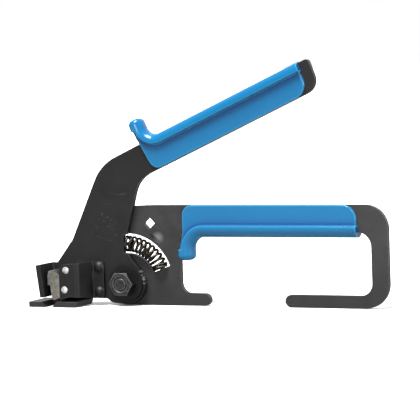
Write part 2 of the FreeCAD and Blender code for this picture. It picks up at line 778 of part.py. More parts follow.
def bracket_pin(label, x, z):
    """A pin with a low dome, held between the jaw bracket and the lever plate."""
    radius = size("pin_radius")
    dome = 0.5
    front_y = bracket_inner_y - size("bracket_thickness") - size("pin_proud")
    return domed_pin(label, radius, radius, dome, front_y + dome, pin_end_y, x, z)


def make_jaw_bracket():
    """A strip of plate joggled outwards, riveted to the lever at one end, open at the other."""
    body = new_body("jaw_bracket")
    thick = size("bracket_thickness")
    outer_y = bracket_inner_y - thick
    tab_y = lever_front_y - thick
    tab_end, near_bend, far_bend, open_end = -13.7, -20.7, -24.6, -36.5
    stand = size("bracket_stand")
    run = near_bend - far_bend
    shift = thick * (math.hypot(run, stand) - run) / stand
    strip = top_sketch(body, "Joggle", z="dims.pivot_z - 10")
    strip.addGeometry(rounded_outline([
        (tab_end, tab_y, 0), (near_bend, tab_y, 1.0), (far_bend, outer_y, 2.8), (open_end, outer_y, 0),
        (open_end, bracket_inner_y, 0), (far_bend - shift, bracket_inner_y, 1.0),
        (near_bend - shift, lever_front_y, 2.8), (tab_end, lever_front_y, 0)]), False)
    joggle = body.newObject("PartDesign::Pad", "Strip")
    joggle.Profile = strip
    joggle.Length = 24
    doc.recompute()

    trim = front_sketch(body, "FrontOutline", "dims.frame_front_y")
    trim.addGeometry(rounded_outline([(-60, -30, 0), (5, -30, 0), (5, 30, 0), (-60, 30, 0)]), False)
    trim.addGeometry(rounded_outline([
        (tab_end, 12.9, 2.0), (near_bend, 12.9, 0), (far_bend, 12.5, 0), (open_end, 11.8, 3.4),
        (open_end, -8.8, 0.8), (-30.6, -7.0, 2.0), (far_bend, -7.2, 0), (near_bend, -8.4, 0),
        (tab_end, -8.4, 1.6)]), False)
    cut(body, trim, THROUGH, "Trim", midplane=True)

    cut_bracket_holes(body)
    return body


def make_bracket_rivets():
    body = domed_pin("bracket_rivets", size("rivet_radius"), size("rivet_head_radius"),
                     size("rivet_head_height"), lever_front_y - size("bracket_thickness"), pin_end_y,
                     "dims.pivot_x - dims.rivet_x", "dims.pivot_z + dims.rivet_lower_z")
    pattern = body.newObject("PartDesign::LinearPattern", "Pair")
    pattern.Originals = [body.Tip]
    pattern.Direction = (origin_plane(body, "Z_Axis"), [""])
    pattern.setExpression("Length", "dims.rivet_upper_z - dims.rivet_lower_z")
    pattern.Occurrences = 2
    body.Tip = pattern
    doc.recompute()
    return body


# -------------------------------------------------------------------------------- jaw
def jaw_piece(label, corners):
    """A piece of the jaw: its outline across and up the leaning nose, as deep as the strap is wide."""
    body = new_body(label)
    outline = front_sketch(body, "Outline", JAW_BACK_Y)
    outline.addGeometry(rounded_outline([on_nose(across, up) + (radius,)
                                         for across, up, radius in corners]), False)
    pad(body, outline, "dims.bracket_stand - 2 * dims.jaw_side_gap", "Block")
    return body


def across_sketch(body, name, across, up):
    """A sketch square to the jaw's direction of grip: its normal points away from the nose."""
    x, z = on_nose(across, up)
    sketch = body.newObject("Sketcher::SketchObject", name)
    sketch.AttachmentSupport = [(origin_plane(body, "YZ_Plane"), "")]
    sketch.MapMode = "FlatFace"
    turn = FreeCAD.Rotation(Vector(1, 0, 0), -size("nose_lean"))
    sketch.AttachmentOffset = FreeCAD.Placement(Vector(jaw_middle_y, pivot_z + z, pivot_x + x), turn)
    return sketch


def screw_holes(body, name, across, up, radius, depth, away=True):
    """Two holes side by side; away cuts from the nose side inwards, else from the back."""
    sketch = across_sketch(body, name, across, up)
    half = "dims.jaw_screw_spacing / 2"
    add_circle(sketch, radius, "-" + half, "0 mm")
    add_circle(sketch, radius, half, "0 mm")
    cut(body, sketch, depth, name + "Cut", forwards=away)


GRIPPER_FACE = size("gripper_face")
SCREW_HEIGHT = size("jaw_screw_height")
SCREW_HEAD_DEPTH = size("jaw_screw_head_depth")
SCREW_LENGTH = size("jaw_screw_length")
JAW_SPRING_HEIGHT = size("jaw_spring_height")
jaw_middle_y = (bracket_inner_y + lever_front_y) / 2


def make_gripper_jaw():
    """Serrated jaw: a row of saw teeth stands out from its upper half."""
    back = GRIPPER_FACE + size("gripper_thickness")
    top_tooth = 5.6
    bottom_tooth = -0.4
    tooth_count = 6
    tooth_depth = 0.55
    pitch = (top_tooth - bottom_tooth) / tooth_count
    corners = [(back, -9.6, 0), (back, 7.6, 0.4), (GRIPPER_FACE + 0.2, 7.6, 0.6)]
    for i in range(tooth_count):
        up = top_tooth - i * pitch
        reach = 1.8 - 0.7 * (i + 0.5) / tooth_count
        corners.append((reach + tooth_depth, up, 0))
        corners.append((reach, up - pitch, 0))
    corners += [(GRIPPER_FACE, bottom_tooth - 0.5, 0.3), (GRIPPER_FACE, -8.3, 0.6), (3.8, -9.6, 0.8)]
    body = jaw_piece("gripper_jaw", corners)
    screw_holes(body, "HeadRecess", GRIPPER_FACE - 1, SCREW_HEIGHT, "dims.jaw_screw_head_radius",
                str(1 + SCREW_HEAD_DEPTH))
    screw_holes(body, "ScrewHole", GRIPPER_FACE, SCREW_HEIGHT, "dims.jaw_screw_radius", "5")
    return body


def make_jaw_backing():
    front = GRIPPER_FACE + size("gripper_thickness")
    back = front + size("backing_thickness")
    body = jaw_piece("jaw_backing", [(front, -9.3, 0), (back, -9.3, 0), (back, 7.3, 0), (front, 7.3, 0)])
    screw_holes(body, "ScrewHole", front, SCREW_HEIGHT, "dims.jaw_screw_radius", "5")
    return body


def make_jaw_carrier():
    face = GRIPPER_FACE + size("gripper_thickness") + size("backing_thickness")
    body = jaw_piece("jaw_carrier", [
        (face, -9.0, 0.4), (17.7, -9.0, 4.5), (17.7, 3.8, 1.5), (9.8, 3.8, 1.0), (7.8, 6.7, 0.5),
        (face, 6.7, 0)])
    hole = front_sketch(body, "PinHole", JAW_BACK_Y)
    add_circle(hole, "dims.pin_radius + dims.pin_clearance", "-dims.jaw_pin_x", "dims.jaw_pin_z")
    cut(body, hole, THROUGH, "PinHoleCut", midplane=True)
    screw_depth = GRIPPER_FACE + SCREW_LENGTH - face
    screw_holes(body, "ScrewHole", face, SCREW_HEIGHT, "dims.jaw_screw_radius", str(screw_depth))
    spring_hole = across_sketch(body, "SpringHole", 17.9, JAW_SPRING_HEIGHT)
    add_circle(spring_hole, "dims.jaw_spring_hole_radius")
    cut(body, spring_hole, "6", "SpringHoleCut")
    return body


def across_placement(across, up, y):
    """Where a piece made along its own +Z goes to lie along the jaw's direction of grip."""
    x, z = on_nose(across, up)
    turn = FreeCAD.Rotation(Vector(0, 1, 0), 90 - size("nose_lean"))
    return FreeCAD.Placement(Vector(pivot_x + x, y, pivot_z + z), turn)


def make_jaw_screws():
    """Two cheese-head screws with a driver slot, sunk in the gripper's face."""
    body = new_body("jaw_screws")
    sketch = body.newObject("Sketcher::SketchObject", "Profile")
    sketch.AttachmentSupport = [(origin_plane(body, "XZ_Plane"), "")]
    sketch.MapMode = "FlatFace"
    head = size("jaw_screw_head_radius")
    shank = size("jaw_screw_radius")
    sketch.addGeometry(rounded_outline([
        (0, 0.1, 0), (head - 0.2, 0.1, 0), (head, 0.3, 0), (head, SCREW_HEAD_DEPTH, 0),
        (shank, SCREW_HEAD_DEPTH, 0), (shank, SCREW_LENGTH - 0.2, 0), (0, SCREW_LENGTH - 0.2, 0)]), False)
    screw = revolve(body, sketch, "Turned")
    driver = body.newObject("Sketcher::SketchObject", "DriverSlot")
    driver.AttachmentSupport = [(origin_plane(body, "XY_Plane"), "")]
    driver.MapMode = "FlatFace"
    driver.addGeometry(rounded_outline([(-3, -0.3, 0), (3, -0.3, 0), (3, 0.3, 0), (-3, 0.3, 0)]), False)
    slot = cut(body, driver, "0.6", "DriverSlotCut", forwards=True)
    pattern = body.newObject("PartDesign::LinearPattern", "Pair")
    pattern.Originals = [screw, slot]
    pattern.Direction = (origin_plane(body, "Y_Axis"), [""])
    pattern.setExpression("Length", "dims.jaw_screw_spacing")
    pattern.Occurrences = 2
    body.Tip = pattern
    first_y = jaw_middle_y - size("jaw_screw_spacing") / 2
    body.Placement = across_placement(GRIPPER_FACE, SCREW_HEIGHT, first_y)
    doc.recompute()
    return body


# ---------------------------------------------------------------------------- springs
def make_jaw_spring():
    """A small straight compression spring between the carrier and the bracket."""
    helix = doc.addObject("Part::Helix", "JawSpringHelix")
    helix.setExpression("Radius", "dims.jaw_spring_radius")
    helix.setExpression("Height", "dims.jaw_spring_length - 2 * dims.jaw_spring_wire_radius")
    helix.setExpression("Pitch", "dims.jaw_spring_length / dims.jaw_spring_turns")
    wire = doc.addObject("Part::Circle", "JawSpringWire")
    wire.setExpression("Radius", "dims.jaw_spring_wire_radius")
    wire.Placement = FreeCAD.Placement(Vector(size("jaw_spring_radius"), 0, 0),
                                       FreeCAD.Rotation(Vector(1, 0, 0), 90))
    sweep = doc.addObject("Part::Sweep", "jaw_spring")
    sweep.Label = "jaw_spring"
    sweep.Sections = [wire]
    sweep.Spine = helix
    sweep.Solid = True
    sweep.Frenet = True
    start = 12.0 + size("jaw_spring_wire_radius")
    sweep.Placement = across_placement(start, JAW_SPRING_HEIGHT, jaw_middle_y)
    doc.recompute()
    return sweep


def make_return_spring():
    """A compression spring bent along the arc slot; its axis lies between the two plates."""
    coil = size("spring_radius")
    wire_radius = size("spring_wire_radius")
    arc_radius = size("slot_middle_radius")
    turns = size("spring_turns")
    start = math.radians(size("spring_start_angle"))
    sweep = math.radians(size("spring_end_angle")) - start
    axis_y = frame_front_y - size("plate_gap") / 2
    steps_per_turn = 12
    points = []
    for step in range(int(turns * steps_per_turn) + 1):
        travelled = step / (turns * steps_per_turn)
        angle = start + sweep * travelled
        phase = 2 * math.pi * turns * travelled
        radius = arc_radius + coil * math.cos(phase)
        points.append(Vector(radius * math.cos(angle), coil * math.sin(phase), radius * math.sin(angle)))
    curve = Part.BSplineCurve()
    curve.interpolate(points)
    tangent = curve.tangent(curve.FirstParameter)[0]
    section = Part.Wire([Part.Circle(points[0], tangent, wire_radius).toShape()])
    spring = doc.addObject("Part::Feature", "return_spring")
    spring.Label = "return_spring"
    spring.Shape = Part.Wire([curve.toShape()]).makePipeShell([section], True, True)
    spring.Placement = FreeCAD.Placement(Vector(pivot_x, axis_y, pivot_z), FreeCAD.Rotation())
    return spring


pieces = [
    make_frame_plate(),
    make_lever_plate(),
    make_lower_grip(),
    make_upper_grip(),
    make_pivot_bolt(),
    make_pivot_nut(),
    ring("front_washer", "dims.front_washer_radius", "dims.washer_bore_radius", "dims.front_washer_thickness",
         WASHER_FRONT_Y),
    ring("back_washer", "dims.back_washer_radius", "dims.washer_bore_radius", "dims.back_washer_thickness",
         "dims.frame_front_y + dims.plate_thickness"),
    ring("pivot_bush", "dims.bush_radius", "dims.bush_bore_radius",
         "2 * dims.plate_thickness + dims.plate_gap + dims.axial_play", LEVER_FRONT_Y + " - dims.axial_play"),
    ring("gap_shim", "dims.shim_radius", "dims.bush_seat_radius", "dims.shim_thickness",
         "dims.frame_front_y - dims.shim_thickness"),
    make_jaw_bracket(),
    make_bracket_rivets(),
    bracket_pin("jaw_pivot_pin", "dims.pivot_x - dims.jaw_pin_x", "dims.pivot_z + dims.jaw_pin_z"),
    bracket_pin("jaw_stop_pin", "dims.pivot_x - dims.stop_pin_x", "dims.pivot_z + dims.stop_pin_z"),
    ring("stop_pin_sleeve", "dims.spacer_radius", "dims.pin_radius + dims.pin_clearance",
         "dims.bracket_stand - 0.1", BRACKET_INNER_Y + " + 0.05",
         "dims.pivot_x - dims.stop_pin_x", "dims.pivot_z + dims.stop_pin_z"),
    make_gripper_jaw(),
    make_jaw_backing(),
    make_jaw_carrier(),
    make_jaw_screws(),
    make_jaw_spring(),
    make_return_spring(),
]

for thing in doc.Objects:
    if "Invalid" in thing.State or "Error" in thing.State:
        raise RuntimeError("%s failed: %s" % (thing.Label, thing.State))
os.makedirs("parts", exist_ok=True)
for piece in pieces:
    if piece.Shape.isNull() or not piece.Shape.isValid():
        raise RuntimeError("%s has no valid shape" % piece.Label)
    piece.Shape.exportStep("parts/%s.step" % piece.Label)
    print(piece.Label, len(piece.Shape.Solids), "solid(s)", round(piece.Shape.Volume, 1), "mm3")
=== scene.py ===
import json
import math

import bmesh
import bpy
from mathutils import Matrix, Vector


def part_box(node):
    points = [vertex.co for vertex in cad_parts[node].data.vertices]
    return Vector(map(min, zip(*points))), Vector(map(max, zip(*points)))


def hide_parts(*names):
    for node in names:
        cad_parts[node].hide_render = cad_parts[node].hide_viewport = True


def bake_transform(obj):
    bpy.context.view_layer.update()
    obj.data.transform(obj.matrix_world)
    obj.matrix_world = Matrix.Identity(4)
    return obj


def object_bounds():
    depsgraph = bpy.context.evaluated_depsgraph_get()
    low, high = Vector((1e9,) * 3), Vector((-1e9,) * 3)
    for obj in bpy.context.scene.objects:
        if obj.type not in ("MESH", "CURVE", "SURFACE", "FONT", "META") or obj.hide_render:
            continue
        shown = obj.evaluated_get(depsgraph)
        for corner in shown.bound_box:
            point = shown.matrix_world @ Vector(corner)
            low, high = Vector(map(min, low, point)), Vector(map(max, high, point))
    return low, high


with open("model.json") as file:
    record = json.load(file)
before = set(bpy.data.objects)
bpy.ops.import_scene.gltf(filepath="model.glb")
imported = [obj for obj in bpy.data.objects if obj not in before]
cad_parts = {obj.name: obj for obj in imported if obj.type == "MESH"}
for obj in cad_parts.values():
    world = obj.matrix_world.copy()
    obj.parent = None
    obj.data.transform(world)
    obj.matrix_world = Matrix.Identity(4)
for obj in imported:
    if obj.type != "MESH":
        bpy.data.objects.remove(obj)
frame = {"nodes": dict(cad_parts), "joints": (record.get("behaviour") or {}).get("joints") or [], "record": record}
cad_low, cad_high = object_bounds()
nodes = frame["nodes"]
joints = {joint["name"]: joint for joint in frame["joints"]}
scene = bpy.context.scene

# Lengths are in metres and angles in degrees. The tool's front faces -Y, and its handles run along +X.

# ------------------------------------------------------------------------------- places
PIVOT = Vector(joints["lever_hinge"]["pos_m"])
LEVER_FACE_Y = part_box("front_washer")[1].y
TAB_FACE_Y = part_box("lever_plate")[1].y - 0.0005
ARM_FACE = Vector((PIVOT.x - 0.0135, LEVER_FACE_Y, PIVOT.z + 0.032))
LOBE_EDGE = Vector((PIVOT.x + 0.0115, LEVER_FACE_Y, PIVOT.z + 0.0040))
TAB_FACE = Vector((PIVOT.x + 0.0203, TAB_FACE_Y, PIVOT.z + 0.0265))

# Nut and bolt ends are painted lighter down to this depth behind the nut's front, partly as a rubbed dull grey and
# partly as painted highlight, and fade to black by the second one.
FRONT_RUB_AND_SHEEN_DEPTH = 0.0009
FRONT_RUB_AND_SHEEN_END = 0.0012

# Painted shade: the frame and lever are painted darker at the bottom, where less light reaches them, and this
# fades out between two heights.
PAINTED_SHADE_BELOW = 0.002
PAINTED_SHADE_UP_TO = 0.036

# ------------------------------------------------------------------------------ springs
POINTS_PER_TURN = 30

RETURN_WIRE = 0.00078
RETURN_ARC_RADIUS = 0.0228
RETURN_LEVER_ANGLE = math.radians(90.1)
RETURN_FRAME_ANGLE = math.radians(22.3)
RETURN_TURNS = 11.0
RETURN_CLOSED_SHARE = 0.45

JAW_WIRE = 0.00025
JAW_SPRING_LEAN = math.radians(7.0)
JAW_TURNS = 9.0
JAW_CLOSED_SHARE = 0.5

# ------------------------------------------------------------------- finishes and wear
# Noise scales are in features per metre; stretches are such scales along X, Y and Z.
CLOUD_SCALE = 18.0
MOTTLE_SCALE = 90.0
PATCH_SCALE = 40.0
RUB_SCALE = 220.0
GRAIN_SCALE = 1500.0
STREAK_STRETCH = (60.0, 60.0, 700.0)
STREAK_TURN = (0.0, 0.9, 0.0)
SCRATCH_STRETCH = (420.0, 400.0, 1300.0)
SCRATCH_TURN = (0.0, 0.25, 0.0)
STEEL_STRETCH = (200.0, 200.0, 2500.0)
JAW_STEEL_STRETCH = (500.0, 500.0, 500.0)
STEEL_STAIN_SCALE = 160.0
PIN_STAIN_SCALE = 430.0
GRIP_CLOUD_SCALE = 14.0
GRIP_GLOSS_SCALE = 60.0
FINE_SCALE = 700.0
FLOOR_CLOUD_SCALE = 3.0

PLATE_EDGE = 0.0004
FASTENER_EDGE = 0.0007
GRIP_EDGE = 0.0013
GRIP_SHADE_REACH = 0.016

GRIP_BLUE_LOW = (0.004, 0.130, 0.295)
GRIP_BLUE_HIGH = (0.005, 0.142, 0.318)
# Painted shade colour for the grips' hollows and the flange under the bead's lip.
GRIP_BLUE_PAINTED_SHADE = (0.001, 0.028, 0.200)
# Painted rim highlight colour for the grips' edges.
GRIP_BLUE_PAINTED_RIM_HIGHLIGHT = (0.035, 0.310, 0.480)
# Painted highlight colour for the nut's and bolt end's front edges and chamfers.
FRONT_EDGE_HIGHLIGHT_GREY = (0.30, 0.30, 0.30)

# --------------------------------------------------------------------- camera and stage
CAMERA_AZIMUTH = 24.67
CAMERA_ELEVATION = 4.151
CAMERA_ROLL = math.radians(-1.954)
CAMERA_DISTANCE = 1.2918
CAMERA_TARGET = Vector((0.08647, 0.010, 0.05517))
CAMERA_LENS_MM = 193.9
CAMERA_SENSOR_MM = 36.0

FLOOR_RADIUS = 12.0
FLOOR_GAP = 0.0002
FLOOR_BOUNCE = 0.24
LAMP_DISTANCE = 1.3
FRONT_DIM = 0.24
SIDE_LEVEL = 0.45
BACK_BRIGHT = 1.3


def put(name, data):
    """Puts a new object with this data into the scene."""
    thing = bpy.data.objects.new(name, data)
    scene.collection.objects.link(thing)
    return thing


def grey(level):
    return (level, level, level)


def scaled_colour(colour, factor):
    return tuple(c * factor for c in colour)


class Graph:
    """A material's or the world's nodes, with short ways to add and join them."""

    def __init__(self, owner):
        owner.use_nodes = True
        self.owner = owner
        self.tree = owner.node_tree
        self.shader = self.tree.nodes.get("Principled BSDF") or self.tree.nodes["Background"]

    def add(self, kind, settings=None, **inputs):
        node = self.tree.nodes.new("ShaderNode" + kind)
        for name, value in (settings or {}).items():
            setattr(node, name, value)
        for name, value in inputs.items():
            self.feed(node, name.replace("_", " "), value)
        return node

    def feed(self, node, name, value):
        """Sets a socket, given by name or number, to a constant, or links a socket or node to it."""
        socket = node.inputs[int(name)] if name.isdigit() else node.inputs[name]
        if isinstance(value, bpy.types.NodeSocket):
            self.tree.links.new(value, socket)
        elif isinstance(value, bpy.types.Node):
            self.tree.links.new(value.outputs[0], socket)
        else:
            socket.default_value = value

    def coordinates(self):
        return self.add("TexCoord").outputs["Object"]

    def noise(self, vector, scale, detail, roughness=0.55):
        return self.add("TexNoise", Vector=vector, Scale=scale, Detail=detail, Roughness=roughness)

    def stretched_noise(self, vector, stretch, turn=(0.0, 0.0, 0.0), roughness=0.55):
        """Noise with its own scale along each axis, turned by turn, in radians."""
        return self.noise(self.add("Mapping", Vector=vector, Scale=stretch, Rotation=turn), 1.0, 3.0, roughness)

    def ramp(self, factor, stops):
        """A colour ramp: stops are (position, grey or (r, g, b))."""
        node = self.add("ValToRGB", Fac=factor)
        elements = node.color_ramp.elements
        while len(elements) < len(stops):
            elements.new(0.5)
        for element, (position, colour) in zip(elements, stops):
            element.position = position
            element.color = (colour if isinstance(colour, tuple) else grey(colour)) + (1.0,)
        return node

    def math(self, operation, first, second, clamp=False):
        node = self.add("Math", {"operation": operation, "use_clamp": clamp})
        self.feed(node, "0", first)
        self.feed(node, "1", second)
        return node

    def mix(self, factor, first, second):
        """Mixes two colours, each a socket, a node or (r, g, b)."""
        node = self.add("Mix", {"data_type": "RGBA"})
        for name, value in (("0", factor), ("6", first), ("7", second)):
            self.feed(node, name, value + (1.0,) if isinstance(value, tuple) else value)
        return node.outputs[2]

    def bump(self, height, strength, distance):
        return self.add("Bump", Height=height, Strength=strength, Distance=distance)

    def edges(self, radius):
        """0 on flat surfaces, and higher within radius of a sharp edge."""
        geometry = self.add("NewGeometry")
        dot = self.add("VectorMath", {"operation": "DOT_PRODUCT"})
        self.feed(dot, "0", self.add("Bevel", {"samples": 6}, Radius=radius))
        self.feed(dot, "1", geometry.outputs["Normal"])
        return self.math("SUBTRACT", 1.0, dot.outputs["Value"], clamp=True)

    def near(self, where, place, radius, fade):
        """1 within radius of a place in the object, falling to 0 over fade."""
        gap = self.add("VectorMath", {"operation": "DISTANCE"})
        self.feed(gap, "0", where)
        self.feed(gap, "1", place)
        return self.add("MapRange", Value=gap.outputs["Value"], From_Min=radius, From_Max=radius + fade,
                        To_Min=1.0, To_Max=0.0)


# ---------------------------------------------------------------------------- materials
def black_finish(name, base, wear_and_sheen, roughness, specular, rubbed=(), polished=()):
    """Satin black finish over steel: mottled, with fine scratches, and edges lightened partly as wear and partly
    as painted highlight.

    rubbed lists (place, radius, amount, rarity), where the finish is scratched through: fewer scratches
    at a higher rarity. The last list gives (place, radius, amount) of painted sheen: a smooth painted highlight
    that lightens the finish towards grey.
    Returns the graph and the finish's colour, which is still to be fed to the shader.
    """
    g = Graph(bpy.data.materials.new(name))
    where = g.coordinates()
    mottle = g.noise(where, MOTTLE_SCALE, 5.0)
    tone = g.ramp(mottle, [(0.30, scaled_colour(base, 0.75)), (0.72, scaled_colour(base, 1.25))])

    # Painted shade: the colour is darkened towards the bottom, fading out between the two heights.
    height = g.add("SeparateXYZ", Vector=where).outputs["Z"]
    low = g.add("MapRange", Value=height, From_Min=PAINTED_SHADE_BELOW, From_Max=PAINTED_SHADE_UP_TO, To_Min=0.55, To_Max=0.0)
    tone = g.mix(low, tone, scaled_colour(base, 0.35))

    cloud = g.ramp(g.noise(where, CLOUD_SCALE, 3.0), [(0.35, 0.0), (0.75, 0.35)])
    tone = g.mix(cloud, tone, scaled_colour(base, 1.5))

    streaks = g.ramp(g.stretched_noise(where, STREAK_STRETCH, STREAK_TURN), [(0.66, 0.0), (0.74, 0.5)])
    patches = g.ramp(g.noise(where, PATCH_SCALE, 2.0), [(0.5, 0.0), (0.66, 0.25)])
    tone = g.mix(g.math("MULTIPLY", streaks, patches), tone, wear_and_sheen)

    # Edges are lightened towards the worn grey: partly wear, partly painted highlight standing in for lit rims.
    edge = g.ramp(g.edges(PLATE_EDGE), [(0.05, 0.0), (0.25, 1.0)])
    edge_wear_and_sheen = g.ramp(g.noise(where, RUB_SCALE, 3.0), [(0.40, 0.15), (0.60, 0.8)])
    tone = g.mix(g.math("MULTIPLY", edge, edge_wear_and_sheen), tone, wear_and_sheen)

    for place, radius, amount, rarity in rubbed:
        marks = g.stretched_noise(where, SCRATCH_STRETCH, SCRATCH_TURN, roughness=0.6)
        scratches = g.ramp(marks, [(rarity, 0.0), (rarity + 0.07, amount)])
        spot = g.near(where, place, radius, radius * 0.3)
        tone = g.mix(g.math("MULTIPLY", scratches, spot), tone, wear_and_sheen)
    # Painted highlight: a smooth sheen around each given place lightens the finish towards grey.
    for place, radius, amount in polished:
        spot = g.near(where, place, radius * 0.3, radius)
        tone = g.mix(g.math("MULTIPLY", spot, amount), tone, wear_and_sheen)

    g.feed(g.shader, "Roughness", g.ramp(mottle, [(0.2, roughness - 0.08), (0.8, roughness + 0.10)]))
    g.feed(g.shader, "Normal", g.bump(g.noise(where, GRAIN_SCALE, 2.0), 0.12, 0.0002))
    g.feed(g.shader, "Specular IOR Level", specular)
    return g, tone


def black_steel(name, base, wear_and_sheen, **spots):
    """The blacked steel of the frame and the lever."""
    g, tone = black_finish(name, base, wear_and_sheen, roughness=0.50, specular=0.34, **spots)
    g.feed(g.shader, "Base Color", tone)
    return g.owner


def dark_fastener(name):
    """Oil-blacked bolt, nut and washers; the nut's and bolt's front faces are painted a lighter dull grey, partly
    as rubbing and partly as painted highlight, with a painted highlight on their edges and chamfers.
    """
    g, black = black_finish(name, grey(0.0065), grey(0.05), roughness=0.36, specular=0.24)
    where = g.coordinates()
    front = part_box("pivot_nut")[0].y
    depth = g.add("SeparateXYZ", Vector=where).outputs["Y"]
    face = g.add("MapRange", Value=depth, From_Min=front + FRONT_RUB_AND_SHEEN_DEPTH, From_Max=front + FRONT_RUB_AND_SHEEN_END,
                 To_Min=1.0, To_Max=0.0)
    dull_and_sheen = g.ramp(g.noise(where, FINE_SCALE, 3.0), [(0.35, 0.010), (0.70, 0.036)])
    # Painted highlight: the front faces' edges and chamfers are lightened towards a light grey.
    edge = g.ramp(g.edges(FASTENER_EDGE), [(0.02, 0.0), (0.15, 0.8)])
    g.feed(g.shader, "Base Color", g.mix(face, black, g.mix(edge, dull_and_sheen, FRONT_EDGE_HIGHLIGHT_GREY)))
    return g.owner


def moulded_blue(name):
    """Glossy blue plastic, with painted shade (a deeper blue) in its hollows and a painted highlight along its
    edges.
    """
    g = Graph(bpy.data.materials.new(name))
    where = g.coordinates()
    tone = g.ramp(g.noise(where, GRIP_CLOUD_SCALE, 3.0), [(0.3, GRIP_BLUE_LOW), (0.7, GRIP_BLUE_HIGH)])
    # Painted shade: ambient occlusion darkens the blue in hollows and under the bead's lip.
    painted_shade_occlusion = g.add("AmbientOcclusion", {"samples": 8}, Distance=GRIP_SHADE_REACH)
    tone = g.mix(g.ramp(painted_shade_occlusion.outputs["AO"], [(0.62, 1.0), (0.99, 0.0)]), tone, GRIP_BLUE_PAINTED_SHADE)
    # Painted highlight: edges are lightened towards a pale blue, standing in for lit rims.
    painted_rim_highlight = g.ramp(g.edges(GRIP_EDGE), [(0.008, 0.0), (0.060, 0.85)])
    g.feed(g.shader, "Base Color", g.mix(painted_rim_highlight, tone, GRIP_BLUE_PAINTED_RIM_HIGHLIGHT))
    g.feed(g.shader, "Roughness", g.ramp(g.noise(where, GRIP_GLOSS_SCALE, 3.0), [(0.3, 0.15), (0.7, 0.21)]))
    g.feed(g.shader, "Normal", g.bump(g.noise(where, FINE_SCALE, 2.0), 0.05, 0.0002))
    g.feed(g.shader, "Specular IOR Level", 0.5)
    return g.owner


def steel(name, dark, light, roughness, stretch=STEEL_STRETCH, metallic=1.0,
          stain_scale=STEEL_STAIN_SCALE, stained=0.6):
    """Bare or plated steel with a grind along its stretch and darker stains."""
    g = Graph(bpy.data.materials.new(name))
    where = g.coordinates()
    grind = g.stretched_noise(where, stretch)
    stain = g.noise(where, stain_scale, 4.0)
    tone = g.ramp(grind, [(0.3, dark), (0.7, light)])
    tone = g.mix(g.ramp(stain, [(0.45, 0.0), (0.75, stained)]), tone, scaled_colour(dark, 0.5))
    g.feed(g.shader, "Base Color", tone)
    g.feed(g.shader, "Metallic", metallic)
    g.feed(g.shader, "Roughness", g.ramp(stain, [(0.2, roughness - 0.08), (0.8, roughness + 0.12)]))
    g.feed(g.shader, "Normal", g.bump(grind, 0.15, 0.0001))
    return g.owner


MATERIALS = {
    "blacked_steel_frame": black_steel(
        "blacked_steel_frame", (0.027, 0.027, 0.0275), (0.18, 0.18, 0.185),
        # painted highlight: a sheen on the frame's tab
        polished=((TAB_FACE, 0.0030, 0.9),)),
    "blacked_steel_lever": black_steel(
        "blacked_steel_lever", (0.0070, 0.0070, 0.0075), grey(0.14),
        rubbed=((ARM_FACE, 0.0085, 0.22, 0.61), (LOBE_EDGE, 0.0040, 1.0, 0.50))),
    "blue_plastic": moulded_blue("blue_plastic"),
    "dark_fastener": dark_fastener("dark_fastener"),
    "bright_steel": steel("bright_steel", grey(0.55), grey(0.88), 0.25, metallic=0.45,
                          stain_scale=PIN_STAIN_SCALE, stained=1.6),
    "jaw_steel": steel("jaw_steel", (0.20, 0.20, 0.19), (0.42, 0.42, 0.41), 0.42, stretch=JAW_STEEL_STRETCH),
    "yellow_plate": steel("yellow_plate", (0.20, 0.18, 0.10), (0.42, 0.38, 0.24), 0.42),
    "spring_steel": steel("spring_steel", (0.012, 0.011, 0.010), (0.085, 0.074, 0.055), 0.34),
}

for part in frame["record"]["subparts"]:
    mesh = nodes[part["node"]].data
    mesh.materials.clear()
    mesh.materials.append(MATERIALS[part["material_slot"]])


# ----------------------------------------------------------------------- making springs
def wire(name, points, radius, sides=10):
    """A round wire swept along points, with capped ends."""
    mesh = bpy.data.meshes.new(name)
    bm = bmesh.new()
    normal = (points[1] - points[0]).orthogonal().normalized()
    rings = []
    for i, point in enumerate(points):
        tangent = (points[min(i + 1, len(points) - 1)] - points[max(i - 1, 0)]).normalized()
        normal = (normal - tangent * normal.dot(tangent)).normalized()
        side = tangent.cross(normal)
        rings.append([bm.verts.new(point + (normal * math.cos(a) + side * math.sin(a)) * radius)
                      for a in (2 * math.pi * k / sides for k in range(sides))])
    for first, second in zip(rings, rings[1:]):
        for k in range(sides):
            after = (k + 1) % sides
            bm.faces.new((first[k], first[after], second[after], second[k]))
    bm.faces.new(rings[0][::-1])
    bm.faces.new(rings[-1])
    bmesh.ops.recalc_face_normals(bm, faces=bm.faces)
    for face in bm.faces:
        face.smooth = len(face.verts) == 4
    bm.to_mesh(mesh)
    bm.free()
    mesh.materials.append(MATERIALS["spring_steel"])
    return put(name, mesh)


def coil(turns, closed_share, place):
    """Points of a coil whose first and last turn have closed_share of the other turns' pitch.

    place(share, angle) gives the point at a share of the length and an angle round the coil.
    """
    count = int(turns * POINTS_PER_TURN)
    speeds = [closed_share if min(i, count - 1 - i) < POINTS_PER_TURN else 1.0 for i in range(count)]
    total = sum(speeds)
    points, travelled = [place(0.0, 0.0)], 0.0
    for i, speed in enumerate(speeds):
        travelled += speed
        points.append(place(travelled / total, 2 * math.pi * (i + 1) / POINTS_PER_TURN))
    return points


